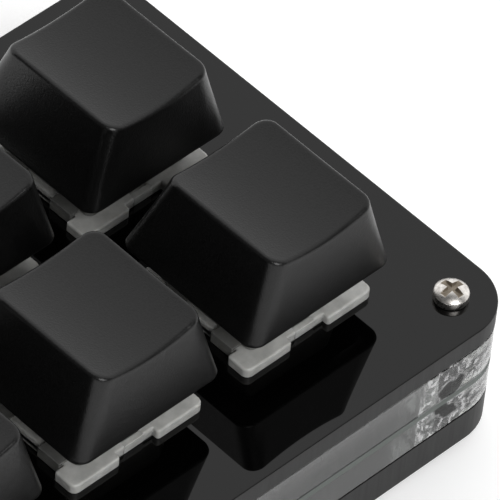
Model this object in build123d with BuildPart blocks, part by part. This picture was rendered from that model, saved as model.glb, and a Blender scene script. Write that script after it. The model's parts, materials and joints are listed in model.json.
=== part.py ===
from build123d import *
from math import atan2, cos, hypot, sin
import os

os.makedirs("parts", exist_ok=True)

# Layout of the keys, seen from above: X along the columns, Y towards the back
row_names = ["front", "back"]
column_names = ["left", "middle", "right"]
column_spacing = 21.8
row_spacing = 22.0
side_margin = 18.5  # outer key centre to the left and right edges
end_margin = 17.5  # outer key centre to the front and back edges
corner_radius = 5.6

# Stack of sheets, from the desk up
foot_height = 1.2
bottom_plate_thickness = 4.0
top_plate_thickness = 2.3
board_drop = 5.0  # plate top down to board top, the height of a switch body
board_thickness = 1.6
space_under_board = 4.6
overrun = 1.0  # how far a cut runs past the face that it leaves

# Clear frames between the plates
frame_wall = 6.0
frame_boss = 10.0  # square block left in each corner for the standoff
frame_inner_radius = 1.0

# Screws, standoffs and feet
screw_inset = 4.8  # screw centre to both edges of the case
screw_radius = 1.0
screw_head_radius = 1.75
screw_head_height = 1.35
screw_head_side = 0.85
screw_engagement = 3.4
screw_clearance = 0.1
thread_play = 0.03
recess_arm_length = 2.3
recess_arm_width = 0.6
recess_depth = 0.7
standoff_radius = 1.6
standoff_clearance = 0.1
counterbore_depth = 1.7
counterbore_clearance = 0.25
foot_radius = 4.0
foot_inset = 14.0  # foot centre to both edges of the case

# Keycap
cap_base = 18.1
cap_floor_gap = 0.2  # skirt above the flange when pressed
cap_back_height = 9.5
cap_front_height = 9.4
cap_side_inset = 2.7
cap_back_inset = 0.68
cap_front_inset = 2.85
cap_corner = 1.5
cap_dish = 1.0
cap_crest = 0.5  # extra height that the dish cuts away
cap_edge = 0.35
cap_wall = 1.3
cap_roof = 1.6
cap_post_radius = 2.75
cap_post_gap = 0.3  # post to the switch at rest
cross_fit = 0.03
cross_seat = 0.05

# Switch housing
key_travel = 4.0
switch_body = 13.9
plate_fit = 0.05
switch_body_corner = 0.5
switch_wall = 1.0
switch_floor = 1.0
flange_length = 16.3  # along X, between the latch sides
flange_width = 15.6
flange_thickness = 1.1
flange_corner = 0.7
clip_notch = 4.7
clip_notch_depth = 0.72
clip_bridge_length = 2.1
clip_bridge = 0.6  # strip left in front of the clip slot
clip_slot = 0.4
clip_slot_depth = 0.8
clip_window_length = 1.15
clip_window_height = 0.5
clip_window_depth = 0.2
latch_place = 3.55  # key centre to the middle of a latch leg
latch_recess = 10.2  # between the corner blocks of the flange
latch_leg = 2.9
latch_thickness = 0.45
latch_gap = 0.05
latch_foot = 0.25
housing_height = 6.6  # plate top to the top of the housing
housing_base = 12.6
housing_top_width = 10.8
housing_top_depth = 11.6
housing_corner = 0.8
housing_wall = 1.0
centre_post_radius = 2.0
centre_post_length = 3.3
centre_post_hole_gap = 0.05
tube_radius = 1.6
tube_height = 2.5
bore_gap = 0.08
bore_end = 0.7
light_window_length = 3.0
light_window_width = 1.6
light_offset = 5.08  # key centre forward to the light

# Switch stem
stem_depth = 5.9
stem_gap = 0.15
stem_floor_gap = 1.0  # slider above the switch floor when pressed
collar_ledge = 0.8
collar_thickness = 1.2
collar_gap = 0.1
spring_hollow_radius = 2.5
spring_roof = 1.6
pole_radius = 1.0
pole_end_gap = 0.6  # pole above the bore's end when pressed
cross_arm = 4.0
cross_width = 1.2
cross_height = 3.6
prong_width = 2.4
prong_reach = 1.0
prong_height = 2.0

# Switch spring
spring_wire_radius = 0.15
spring_mean_radius = 2.1
spring_turns = 10
spring_seat_gap = 0.05
coil_steps = 40  # measured points on each turn

# Switch contacts, as places from the key centre
fixed_pin_x = 2.54
fixed_pin_y = 5.08
leaf_pin_x = -3.81
leaf_pin_y = 2.54
contact_thickness = 0.3
contact_gap = 0.35
contact_blade_width = 2.4
contact_blade_height = 4.4
contact_foot_width = 1.2
leaf_lift = 1.2
leaf_height = 2.6
pin_width = 0.8
pin_reach = 1.7  # how far the pins stand out under the board
pin_slot_gap = 0.1
pin_hole_radius = 0.75

# Circuit board and what sits on it
board_margin = 8.0  # outer key centre to the board's edge
board_corner = 1.5
board_tab_width = 10.0
board_tab_setback = 0.6
tab_clearance = 0.4
usb_width = 8.94
usb_height = 3.26
usb_depth = 7.3
usb_corner = 1.3
usb_wall = 0.3
usb_tongue_width = 6.7
usb_tongue_thickness = 0.7
usb_tongue_length = 4.6
usb_core_depth = 1.4
usb_core_gap = 0.04
chip_size = 5.0
chip_height = 0.9
chip_edge = 0.15
crystal_length = 3.2
crystal_width = 2.5
crystal_height = 0.8
crystal_edge = 0.2
capacitor_length = 1.6
capacitor_width = 0.8
capacitor_height = 0.8
capacitor_gap = 0.7
diode_length = 2.7
diode_width = 1.6
diode_height = 1.1
diode_x = 5.8  # key centre to the diode
diode_y = -2.5
light_body_length = 3.8
light_body_width = 3.2
light_body_height = 0.9
light_lens_height = 1.2
light_fit = 0.1

# Levels and overall sizes that follow from the values above
columns = len(column_names)
rows = len(row_names)
case_length = (columns - 1) * column_spacing + 2 * side_margin
case_width = (rows - 1) * row_spacing + 2 * end_margin
clear_thickness = (board_drop + board_thickness + space_under_board - top_plate_thickness) / 2
bottom_plate_top = foot_height + bottom_plate_thickness
seam_level = bottom_plate_top + clear_thickness
top_plate_base = seam_level + clear_thickness
plate_top = top_plate_base + top_plate_thickness
board_top = plate_top - board_drop
board_base = board_top - board_thickness
switch_floor_top = board_top + switch_floor
flange_top = plate_top + flange_thickness
housing_top = plate_top + housing_height
bore_bottom = board_top - centre_post_length + bore_end
screw_span_x = case_length - 2 * screw_inset
screw_span_y = case_width - 2 * screw_inset
foot_span_x = case_length - 2 * foot_inset
foot_span_y = case_width - 2 * foot_inset
notch_width = board_tab_width + 2 * tab_clearance
pin_places = [(fixed_pin_x, fixed_pin_y), (leaf_pin_x, leaf_pin_y)]


def save(piece, name):
    piece.label = name
    export_step(piece, f"parts/{name}.step")


# Black top plate, with a square cut-out for each switch
with BuildPart() as top_plate:
    with BuildSketch(Plane.XY.offset(top_plate_base)):
        RectangleRounded(case_length, case_width, corner_radius)
        with GridLocations(column_spacing, row_spacing, columns, rows):
            Rectangle(switch_body + 2 * plate_fit, switch_body + 2 * plate_fit, mode=Mode.SUBTRACT)
        with GridLocations(screw_span_x, screw_span_y, 2, 2):
            Circle(screw_radius + screw_clearance, mode=Mode.SUBTRACT)
    extrude(amount=top_plate_thickness)
save(top_plate.part, "top_plate")


# Clear frames: a ring with corner blocks, open at the back for the socket
def clear_frame(base):
    with BuildPart() as frame:
        with BuildSketch(Plane.XY.offset(base)):
            RectangleRounded(case_length, case_width, corner_radius)
            with GridLocations(screw_span_x, screw_span_y, 2, 2):
                Circle(standoff_radius + standoff_clearance, mode=Mode.SUBTRACT)
        extrude(amount=clear_thickness)
        with BuildSketch(Plane.XY.offset(base)) as opening:
            Rectangle(case_length - 2 * frame_wall, case_width - 2 * frame_boss)
            Rectangle(case_length - 2 * frame_boss, case_width - 2 * frame_wall)
            fillet(opening.vertices(), frame_inner_radius)
            with Locations((0, case_width / 2 - frame_wall)):
                Rectangle(notch_width, 2 * (frame_wall + overrun))
        extrude(amount=clear_thickness, mode=Mode.SUBTRACT)
    return frame.part


save(clear_frame(seam_level), "upper_clear_frame")
save(clear_frame(bottom_plate_top), "lower_clear_frame")

# Black bottom plate, with the lower screw heads sunk in it
with BuildPart() as bottom_plate:
    with BuildSketch(Plane.XY.offset(foot_height)):
        RectangleRounded(case_length, case_width, corner_radius)
        with GridLocations(screw_span_x, screw_span_y, 2, 2):
            Circle(screw_radius + screw_clearance, mode=Mode.SUBTRACT)
    extrude(amount=bottom_plate_thickness)
    with BuildSketch(Plane.XY.offset(foot_height)):
        with GridLocations(screw_span_x, screw_span_y, 2, 2):
            Circle(screw_head_radius + counterbore_clearance)
    extrude(amount=counterbore_depth, mode=Mode.SUBTRACT)
save(bottom_plate.part, "bottom_plate")

# Feet under the bottom plate
with BuildPart() as rubber_feet:
    with BuildSketch(Plane.XY):
        with GridLocations(foot_span_x, foot_span_y, 2, 2):
            Circle(foot_radius)
    extrude(amount=foot_height)
save(rubber_feet.part, "rubber_feet")

# Threaded standoffs inside the corner blocks
with BuildPart() as standoffs:
    with BuildSketch(Plane.XY.offset(bottom_plate_top)):
        with GridLocations(screw_span_x, screw_span_y, 2, 2):
            Circle(standoff_radius)
            Circle(screw_radius + thread_play, mode=Mode.SUBTRACT)
    extrude(amount=2 * clear_thickness)
save(standoffs.part, "standoffs")


# Pan-head screws with a cross recess: seat is where the head bears, way is +1 for heads up
def corner_screws(seat, shank_length, way):
    dome = screw_head_height - screw_head_side
    dome_radius = (screw_head_radius**2 + dome**2) / (2 * dome)
    half_angle = atan2(screw_head_radius, dome_radius - dome) / 2
    crown = seat + way * screw_head_height
    shoulder = seat + way * screw_head_side
    mid_x = dome_radius * sin(half_angle)
    mid_z = crown - way * dome_radius * (1 - cos(half_angle))
    tip = seat - way * shank_length
    with BuildPart() as one_screw:
        with BuildSketch(Plane.XZ):
            with BuildLine():
                Polyline((0, crown), (0, tip), (screw_radius, tip), (screw_radius, seat))
                Polyline((screw_radius, seat), (screw_head_radius, seat), (screw_head_radius, shoulder))
                ThreePointArc((screw_head_radius, shoulder), (mid_x, mid_z), (0, crown))
            make_face()
        revolve(axis=Axis.Z)
        with BuildSketch(Plane.XY.offset(crown - way * recess_depth)):
            Rectangle(recess_arm_length, recess_arm_width)
            Rectangle(recess_arm_width, recess_arm_length)
        extrude(amount=way * (recess_depth + overrun), mode=Mode.SUBTRACT)
    with BuildPart() as screws:
        with GridLocations(screw_span_x, screw_span_y, 2, 2):
            add(one_screw.part)
    return screws.part


save(corner_screws(plate_top, top_plate_thickness + screw_engagement, 1), "top_screws")
lower_seat = foot_height + counterbore_depth
lower_shank = bottom_plate_thickness - counterbore_depth + screw_engagement
save(corner_screws(lower_seat, lower_shank, -1), "bottom_screws")

# Circuit board, hung on the switches, with a tab that carries the socket
tab_reach = case_width / 2 - board_tab_setback
with BuildPart() as circuit_board:
    with BuildSketch(Plane.XY.offset(board_base)):
        RectangleRounded(
            (columns - 1) * column_spacing + 2 * board_margin,
            (rows - 1) * row_spacing + 2 * board_margin,
            board_corner,
        )
        with Locations((0, tab_reach / 2)):
            Rectangle(board_tab_width, tab_reach)
        with GridLocations(column_spacing, row_spacing, columns, rows):
            Circle(centre_post_radius + centre_post_hole_gap, mode=Mode.SUBTRACT)
        for pin_x, pin_y in pin_places:
            with Locations((pin_x, pin_y)):
                with GridLocations(column_spacing, row_spacing, columns, rows):
                    Circle(pin_hole_radius, mode=Mode.SUBTRACT)
        with Locations((0, -light_offset)):
            with GridLocations(column_spacing, row_spacing, columns, rows):
                Rectangle(light_window_length, light_window_width, mode=Mode.SUBTRACT)
    extrude(amount=board_thickness)
save(circuit_board.part, "circuit_board")

# Cable socket under the board tab, its mouth flush with the back edge
usb_level = board_base - usb_height / 2
usb_mouth = Plane(origin=(0, case_width / 2, usb_level), x_dir=(1, 0, 0), z_dir=(0, -1, 0))
with BuildPart() as usb_shell:
    with BuildSketch(usb_mouth):
        RectangleRounded(usb_width, usb_height, usb_corner)
    extrude(amount=usb_depth)
    with BuildSketch(usb_mouth):
        RectangleRounded(usb_width - 2 * usb_wall, usb_height - 2 * usb_wall, usb_corner - usb_wall)
    extrude(amount=usb_depth - usb_wall, mode=Mode.SUBTRACT)
save(usb_shell.part, "usb_shell")

usb_core_width = usb_width - 2 * (usb_wall + usb_core_gap)
usb_core_height = usb_height - 2 * (usb_wall + usb_core_gap)
with BuildPart() as usb_tongue:
    with BuildSketch(usb_mouth.offset(usb_depth - usb_wall)):
        RectangleRounded(usb_core_width, usb_core_height, usb_corner - usb_wall - usb_core_gap)
    extrude(amount=-usb_core_depth)
    with BuildSketch(usb_mouth.offset(usb_depth - usb_wall - usb_core_depth)):
        Rectangle(usb_tongue_width, usb_tongue_thickness)
    extrude(amount=-usb_tongue_length)
save(usb_tongue.part, "usb_tongue")

# Controller, crystal and capacitors on top of the board, between the switches
with BuildPart() as controller_chip:
    with BuildSketch(Plane.XY.offset(board_top)):
        with Locations((column_spacing / 2, 0)):
            Rectangle(chip_size, chip_size)
    extrude(amount=chip_height)
    chamfer(controller_chip.faces().sort_by(Axis.Z)[-1].edges(), chip_edge)
save(controller_chip.part, "controller_chip")

with BuildPart() as crystal:
    with BuildSketch(Plane.XY.offset(board_top)):
        with Locations((-column_spacing / 2, 0)):
            Rectangle(crystal_length, crystal_width)
    extrude(amount=crystal_height)
    fillet(crystal.edges().filter_by(Axis.Z), crystal_edge)
save(crystal.part, "crystal")

with BuildPart() as capacitors:
    with BuildSketch(Plane.XY.offset(board_top)):
        with Locations((column_spacing / 2, 0)):
            with GridLocations(chip_size + capacitor_length + 2 * capacitor_gap, chip_size / 2, 2, 2):
                Rectangle(capacitor_length, capacitor_width)
    extrude(amount=capacitor_height)
save(capacitors.part, "capacitors")

# Diodes and lights under the board, one of each for every key
with BuildPart() as diodes:
    with BuildSketch(Plane.XY.offset(board_base)):
        with Locations((diode_x, diode_y)):
            with GridLocations(column_spacing, row_spacing, columns, rows):
                Rectangle(diode_width, diode_length)
    extrude(amount=-diode_height)
save(diodes.part, "diodes")

with BuildPart() as lights:
    with BuildSketch(Plane.XY.offset(board_base)):
        with Locations((0, -light_offset)):
            with GridLocations(column_spacing, row_spacing, columns, rows):
                Rectangle(light_body_length, light_body_width)
    extrude(amount=-light_body_height)
    with BuildSketch(Plane.XY.offset(board_base)):
        with Locations((0, -light_offset)):
            with GridLocations(column_spacing, row_spacing, columns, rows):
                Rectangle(light_window_length - 2 * light_fit, light_window_width - 2 * light_fit)
    extrude(amount=light_lens_height)
save(lights.part, "lights")

# Lower switch housing: box in the plate, flange on it, centre post through the board
cavity = switch_body - 2 * switch_wall
latch_overhang = (flange_length - switch_body) / 2
clip_face = flange_width - 2 * clip_notch_depth
clip_notch_space = flange_width - clip_notch_depth
clip_slot_space = clip_face - 2 * clip_bridge - clip_slot
clip_window_space = clip_face - clip_window_depth
clip_window_step = (clip_notch + clip_bridge_length) / 2
bore_radius = pole_radius + bore_gap
with BuildPart() as switch_base:
    with BuildSketch(Plane.XY.offset(board_top)):
        RectangleRounded(switch_body, switch_body, switch_body_corner)
    extrude(amount=board_drop + flange_thickness)
    with BuildSketch(Plane.XY.offset(plate_top)):
        RectangleRounded(flange_length, flange_width, flange_corner)
        with GridLocations(0, clip_notch_space, 1, 2):
            Rectangle(clip_notch, clip_notch_depth, mode=Mode.SUBTRACT)
        with GridLocations(switch_body + latch_overhang, 0, 2, 1):
            Rectangle(latch_overhang, latch_recess, mode=Mode.SUBTRACT)
    extrude(amount=flange_thickness)
    with BuildSketch(Plane.XY.offset(flange_top)):
        with GridLocations(0, clip_slot_space, 1, 2):
            Rectangle(clip_bridge_length, clip_slot)
    extrude(amount=-clip_slot_depth, mode=Mode.SUBTRACT)
    with BuildSketch(Plane.XY.offset(plate_top)):
        with GridLocations(clip_window_step, clip_window_space, 2, 2):
            Rectangle(clip_window_length, clip_window_depth)
    extrude(amount=clip_window_height, mode=Mode.SUBTRACT)
    with BuildSketch(Plane.XY.offset(switch_floor_top)):
        RectangleRounded(cavity, cavity, switch_body_corner)
    extrude(amount=board_drop + flange_thickness, mode=Mode.SUBTRACT)
    with BuildSketch(Plane.XY.offset(switch_floor_top)):
        Circle(tube_radius)
    extrude(amount=tube_height)
    with BuildSketch(Plane.XY.offset(board_top)):
        Circle(centre_post_radius)
    extrude(amount=-centre_post_length)
    with BuildSketch(Plane.XY.offset(bore_bottom)):
        Circle(bore_radius)
    extrude(amount=switch_floor_top + tube_height + overrun - bore_bottom, mode=Mode.SUBTRACT)
    with BuildSketch(Plane.XY.offset(board_top)):
        with Locations(*pin_places):
            Rectangle(pin_width + 2 * pin_slot_gap, contact_thickness + 2 * pin_slot_gap)
        with Locations((0, -light_offset)):
            Rectangle(light_window_length, light_window_width)
    extrude(amount=switch_floor, mode=Mode.SUBTRACT)

# Upper switch housing: tapered hood with a slot for the stem and four latch legs
hood_height = housing_height - flange_thickness
collar_width = min(housing_base, housing_top_width) - 2 * housing_wall  # as wide as the hood's narrow end
stem_width = collar_width - 2 * collar_ledge
slot_width = stem_width + 2 * stem_gap
slot_depth = stem_depth + 2 * stem_gap
hood_share = 1 - housing_wall / hood_height
hood_inner_width = housing_base + (housing_top_width - housing_base) * hood_share - 2 * housing_wall
hood_inner_depth = housing_base + (housing_top_depth - housing_base) * hood_share - 2 * housing_wall
latch_x = switch_body + 2 * latch_gap + latch_thickness
latch_foot_start = housing_base / 2 - housing_wall
latch_foot_end = (latch_x + latch_thickness) / 2
with BuildPart() as switch_top:
    with BuildSketch(Plane.XY.offset(flange_top)):
        RectangleRounded(housing_base, housing_base, housing_corner)
    with BuildSketch(Plane.XY.offset(housing_top)):
        RectangleRounded(housing_top_width, housing_top_depth, housing_corner)
    loft()
    with BuildSketch(Plane.XY.offset(flange_top)):
        with GridLocations(latch_x, 2 * latch_place, 2, 2):
            Rectangle(latch_thickness, latch_leg)
    extrude(amount=-(flange_thickness - latch_gap))
    with BuildSketch(Plane.XY.offset(flange_top)):
        with GridLocations(latch_foot_start + latch_foot_end, 2 * latch_place, 2, 2):
            Rectangle(latch_foot_end - latch_foot_start, latch_leg)
    extrude(amount=latch_foot)
    with BuildSketch(Plane.XY.offset(flange_top)):
        RectangleRounded(housing_base - 2 * housing_wall, housing_base - 2 * housing_wall, housing_corner)
    with BuildSketch(Plane.XY.offset(housing_top - housing_wall)):
        RectangleRounded(hood_inner_width, hood_inner_depth, housing_corner)
    loft(mode=Mode.SUBTRACT)
    with BuildSketch(Plane.XY.offset(housing_top - housing_wall)):
        Rectangle(slot_width, slot_depth)
    extrude(amount=housing_wall, mode=Mode.SUBTRACT)

# Stem: hollow slider with a collar under the hood, a guide pole and the cross for the cap
collar_top = housing_top - housing_wall - collar_gap
stem_base = switch_floor_top + key_travel + stem_floor_gap
stem_height = housing_top - stem_base
spring_ceiling = housing_top - spring_roof
pole_length = spring_ceiling - bore_bottom - key_travel - pole_end_gap
with BuildPart() as stem:
    with BuildSketch(Plane.XY.offset(stem_base)):
        Rectangle(stem_width, stem_depth)
    extrude(amount=stem_height)
    with BuildSketch(Plane.XY.offset(collar_top)):
        Rectangle(collar_width, stem_depth + 2 * collar_ledge)
    extrude(amount=-collar_thickness)
    with BuildSketch(Plane.XY.offset(stem_base)):
        with Locations((0, (stem_depth + prong_reach) / 2)):
            Rectangle(prong_width, prong_reach)
    extrude(amount=prong_height)
    with BuildSketch(Plane.XY.offset(stem_base)):
        Circle(spring_hollow_radius)
    extrude(amount=stem_height - spring_roof, mode=Mode.SUBTRACT)
    with BuildSketch(Plane.XY.offset(spring_ceiling)):
        Circle(pole_radius)
    extrude(amount=-pole_length)
    with BuildSketch(Plane.XY.offset(housing_top)):
        Rectangle(cross_arm, cross_width)
        Rectangle(cross_width, cross_arm)
    extrude(amount=cross_height)

# Return spring: half turns, each a tilted arc from one side of the coil to the other
spring_low = switch_floor_top + spring_seat_gap + spring_wire_radius
spring_high = spring_ceiling - spring_seat_gap - spring_wire_radius
half_turn_rise = (spring_high - spring_low) / (2 * spring_turns)
coil_ends = []
for half_turn in range(2 * spring_turns + 1):
    side = 1 if half_turn % 2 == 0 else -1
    coil_ends.append((side * spring_mean_radius, 0, spring_low + half_turn * half_turn_rise))
arc_radius = hypot(spring_mean_radius, half_turn_rise / 2)
lead = 2 * spring_wire_radius
with BuildPart() as spring:
    with BuildLine() as coil:
        Line((spring_mean_radius, -lead, spring_low), coil_ends[0])
        for half_turn, (start, end) in enumerate(zip(coil_ends, coil_ends[1:])):
            bulge = arc_radius if half_turn % 2 == 0 else -arc_radius
            ThreePointArc(start, (0, bulge, (start[2] + end[2]) / 2), end)
        Line(coil_ends[-1], (spring_mean_radius, lead, spring_high))
    with BuildSketch(Plane(origin=(spring_mean_radius, -lead, spring_low), z_dir=(0, 1, 0))):
        Circle(spring_wire_radius)
    sweep()
coil_count = coil_steps * spring_turns
coil_points = [coil.line @ (step / coil_count) for step in range(coil_count + 1)]
coil_gap = min(
    (coil_points[first] - coil_points[second]).length
    for first in range(coil_count)
    for second in range(first + coil_steps // 2, min(first + 2 * coil_steps, coil_count))
)
print(f"least gap between spring turns {coil_gap - 2 * spring_wire_radius:.2f} mm")

# Contacts: a fixed blade and a leaf beside it, each with a pin through the board
leaf_y = fixed_pin_y - contact_thickness - contact_gap
leaf_start = leaf_pin_x - contact_foot_width / 2
leaf_end = fixed_pin_x + contact_blade_width / 2
pin_length = switch_floor + board_thickness + pin_reach
foot_start = leaf_pin_y - contact_thickness / 2
foot_end = leaf_y + contact_thickness / 2
with BuildPart() as contacts:
    with BuildSketch(Plane.XY.offset(switch_floor_top)):
        with Locations((fixed_pin_x, fixed_pin_y)):
            Rectangle(contact_blade_width, contact_thickness)
    extrude(amount=contact_blade_height)
    with BuildSketch(Plane.XY.offset(switch_floor_top)):
        with Locations((leaf_pin_x, (foot_start + foot_end) / 2)):
            Rectangle(contact_foot_width, foot_end - foot_start)
    extrude(amount=contact_thickness)
    with BuildSketch(Plane.XY.offset(switch_floor_top)):
        with Locations((leaf_pin_x, leaf_y)):
            Rectangle(contact_foot_width, contact_thickness)
    extrude(amount=leaf_lift + leaf_height)
    with BuildSketch(Plane.XY.offset(switch_floor_top + leaf_lift)):
        with Locations(((leaf_start + leaf_end) / 2, leaf_y)):
            Rectangle(leaf_end - leaf_start, contact_thickness)
    extrude(amount=leaf_height)
    with BuildSketch(Plane.XY.offset(switch_floor_top)):
        with Locations(*pin_places):
            Rectangle(pin_width, contact_thickness)
    extrude(amount=-pin_length)

# Keycap: tapered hood with a dished top, hollow below, and a post that grips the stem's cross
cap_bottom = flange_top + key_travel + cap_floor_gap
cap_height = (cap_back_height + cap_front_height) / 2
cap_rise = cap_front_height - cap_back_height
cap_top_width = cap_base - 2 * cap_side_inset
cap_top_run = cap_base - cap_back_inset - cap_front_inset
cap_top_depth = hypot(cap_top_run, cap_rise)
cap_top_y = (cap_front_inset - cap_back_inset) / 2
tilt = atan2(cap_rise, cap_top_run)
cap_normal = (0, sin(tilt), cos(tilt))
top_face = Plane(origin=(0, cap_top_y, cap_bottom + cap_height), x_dir=(1, 0, 0), z_dir=cap_normal)
crest_share = 1 + cap_crest / cap_height
crest_face = Plane(
    origin=(0, cap_top_y * crest_share, cap_bottom + cap_height * crest_share),
    x_dir=(1, 0, 0),
    z_dir=cap_normal,
)
crest_width = cap_base - 2 * cap_side_inset * crest_share
crest_depth = cap_base - (cap_base - cap_top_depth) * crest_share
dish_radius = ((cap_top_width / 2) ** 2 + cap_dish**2) / (2 * cap_dish)
dish_axis = Plane(
    origin=top_face.from_local_coords((0, 0, dish_radius - cap_dish)),
    x_dir=(1, 0, 0),
    z_dir=(0, cos(tilt), -sin(tilt)),
)
roof_level = min(cap_back_height, cap_front_height) - cap_dish - cap_roof
roof_share = roof_level / cap_height
roof_width = cap_base - 2 * cap_side_inset * roof_share - 2 * cap_wall
roof_depth = cap_base - (cap_back_inset + cap_front_inset) * roof_share - 2 * cap_wall
post_bottom = housing_top + cap_post_gap
cross_top = housing_top + cross_height
with BuildPart() as keycap:
    with BuildSketch(Plane.XY.offset(cap_bottom)):
        RectangleRounded(cap_base, cap_base, cap_corner)
    with BuildSketch(crest_face):
        RectangleRounded(crest_width, crest_depth, cap_corner)
    loft()
    with BuildSketch(dish_axis):
        Circle(dish_radius)
    extrude(amount=cap_base, both=True, mode=Mode.SUBTRACT)
    fillet(keycap.faces().sort_by(Axis.Z)[-1].edges(), cap_edge)
    with BuildSketch(Plane.XY.offset(cap_bottom)):
        RectangleRounded(cap_base - 2 * cap_wall, cap_base - 2 * cap_wall, cap_corner - cap_edge)
    with BuildSketch(Plane.XY.offset(cap_bottom + roof_level)):
        with Locations((0, cap_top_y * roof_share)):
            RectangleRounded(roof_width, roof_depth, cap_corner - cap_edge)
    loft(mode=Mode.SUBTRACT)
    with BuildSketch(Plane.XY.offset(post_bottom)):
        Circle(cap_post_radius)
    extrude(amount=cap_bottom + roof_level - post_bottom)
    with BuildSketch(Plane.XY.offset(post_bottom)):
        Rectangle(cross_arm + 2 * cross_fit, cross_width + 2 * cross_fit)
        Rectangle(cross_width + 2 * cross_fit, cross_arm + 2 * cross_fit)
    extrude(amount=cross_top + cross_seat - post_bottom, mode=Mode.SUBTRACT)

# One switch and one cap at every place of the grid
key_pieces = {
    "keycap": keycap,
    "stem": stem,
    "spring": spring,
    "switch_top": switch_top,
    "switch_base": switch_base,
    "contacts": contacts,
}
for row, row_name in enumerate(row_names):
    for column, column_name in enumerate(column_names):
        key_x = (column - (columns - 1) / 2) * column_spacing
        key_y = (row - (rows - 1) / 2) * row_spacing
        for piece_name, piece in key_pieces.items():
            placed = piece.part.moved(Location((key_x, key_y, 0)))
            save(placed, f"{piece_name}_{row_name}_{column_name}")

print(f"case {case_length:.1f} x {case_width:.1f} mm, plate top at {plate_top:.2f} mm")
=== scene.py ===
import json
import math

import bpy
import numpy as np
from mathutils import Matrix, Vector, geometry

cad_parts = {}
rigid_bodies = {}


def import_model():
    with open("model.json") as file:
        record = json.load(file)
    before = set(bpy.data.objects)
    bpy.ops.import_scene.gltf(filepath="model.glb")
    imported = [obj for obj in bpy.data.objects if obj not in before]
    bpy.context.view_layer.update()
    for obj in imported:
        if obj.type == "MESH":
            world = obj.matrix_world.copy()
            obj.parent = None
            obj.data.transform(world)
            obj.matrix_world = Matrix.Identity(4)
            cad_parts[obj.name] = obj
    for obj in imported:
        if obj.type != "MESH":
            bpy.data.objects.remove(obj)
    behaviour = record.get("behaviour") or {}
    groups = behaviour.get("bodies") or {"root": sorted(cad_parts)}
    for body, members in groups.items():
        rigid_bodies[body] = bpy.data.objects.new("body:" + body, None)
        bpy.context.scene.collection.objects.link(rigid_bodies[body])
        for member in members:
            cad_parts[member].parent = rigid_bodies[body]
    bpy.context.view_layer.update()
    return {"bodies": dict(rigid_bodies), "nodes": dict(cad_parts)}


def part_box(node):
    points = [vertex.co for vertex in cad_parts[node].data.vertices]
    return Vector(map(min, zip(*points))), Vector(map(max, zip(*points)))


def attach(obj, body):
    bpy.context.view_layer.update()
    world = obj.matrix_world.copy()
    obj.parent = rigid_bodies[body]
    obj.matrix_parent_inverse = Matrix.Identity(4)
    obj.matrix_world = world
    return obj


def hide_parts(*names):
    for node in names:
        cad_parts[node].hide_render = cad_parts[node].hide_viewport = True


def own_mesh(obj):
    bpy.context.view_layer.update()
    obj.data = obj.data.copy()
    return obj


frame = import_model()
print("frame loaded:", len(frame["nodes"]), "nodes")

mm = 0.001
hold = 0.05  # narrow strip beside a rounded edge, so that flat faces stay flat in the light
tiny = 1e-12  # keeps a division by a sine or cosine finite
leastArea = 1e-9  # triangles under this are dropped
fullTurn, quarterTurn = 2 * math.pi, math.pi / 2
keyNames = [body.removeprefix("key_") for body in frame["bodies"] if body.startswith("key_")]


# some of a dictionary's values, by their names
def picked(settings, names):
    return (settings[name] for name in names.split())


# a CAD node's corners in millimetres
def nodeBox(node):
    low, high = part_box(node)
    return np.array(low) / mm, np.array(high) / mm


# quads between each ring and the next, the last point of a ring meeting its first
def stripFaces(rows, around, wrap=False):
    ring = np.arange(rows if wrap else rows - 1)[:, None]
    point = np.arange(around)[None, :]
    here, above, beside = ring * around, (ring + 1) % rows * around, (point + 1) % around
    return np.stack([here + point, here + beside, above + beside, above + point], -1).reshape(-1, 4)


# rings (rows, around, 3) joined in order; open ends close in a fan on their middle
def ringShell(rings, wrap=False):
    rows, around, _ = rings.shape
    points, faces = rings.reshape(-1, 3), stripFaces(rows, around, wrap).tolist()
    if wrap:
        return points, faces
    point = np.arange(around)
    beside, last, pole = (point + 1) % around, (rows - 1) * around, rows * around
    points = np.vstack([points, rings[0].mean(0), rings[-1].mean(0)])
    faces += np.stack([np.full(around, pole), beside, point], -1).tolist()
    faces += np.stack([last + point, last + beside, np.full(around, pole + 1)], -1).tolist()
    return points, faces


# a polygon with every corner an arc tangent to its two sides: the side's direction turns
# by a growing share of the corner's angle; gives the points and their outward directions
def roundedLoop(corners, radius, steps=5):
    corner = np.asarray(corners, float)
    side = corner - np.roll(corner, 1, 0)
    side /= np.linalg.norm(side, axis=1, keepdims=True)
    onward = np.roll(side, -1, 0)
    turn = np.arctan2(side[:, 0] * onward[:, 1] - side[:, 1] * onward[:, 0], (side * onward).sum(1))
    radius = np.broadcast_to(np.asarray(radius, float), turn.shape)
    across = np.stack([-side[:, 1], side[:, 0]], -1)
    reach = (radius * np.tan(np.abs(turn) / 2))[:, None]
    arm = -across * (np.sign(turn) * radius)[:, None]
    centre = corner - side * reach - arm
    angle = (turn[:, None] * np.linspace(0, 1, steps + 1))[..., None]
    cross = np.stack([-arm[:, 1], arm[:, 0]], -1)
    arc = centre[:, None] + np.cos(angle) * arm[:, None] + np.sin(angle) * cross[:, None]
    heading = np.cos(angle) * side[:, None] + np.sin(angle) * across[:, None]
    arc = np.concatenate([arc[:, :1] - hold * heading[:, :1], arc, arc[:, -1:] + hold * heading[:, -1:]], 1)
    heading = np.concatenate([heading[:, :1], heading, heading[:, -1:]], 1)
    outward = np.stack([heading[..., 1], -heading[..., 0]], -1)
    return arc.reshape(-1, 2), outward.reshape(-1, 2)


# corners of a box in plan, anticlockwise, or clockwise for a hole
def boxCorners(centre, halfX, halfY, hole=False):
    corners = np.array(centre) + np.array([[1, -1], [1, 1], [-1, 1], [-1, -1]]) * (halfX, halfY)
    return corners[::-1] if hole else corners


# a box a little wider than the hole, its four corners rounded until they nearly meet
def roundHole(centre, radius):
    return roundedLoop(boxCorners(centre, radius + hold, radius + hold, True), radius, steps=10)


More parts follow.
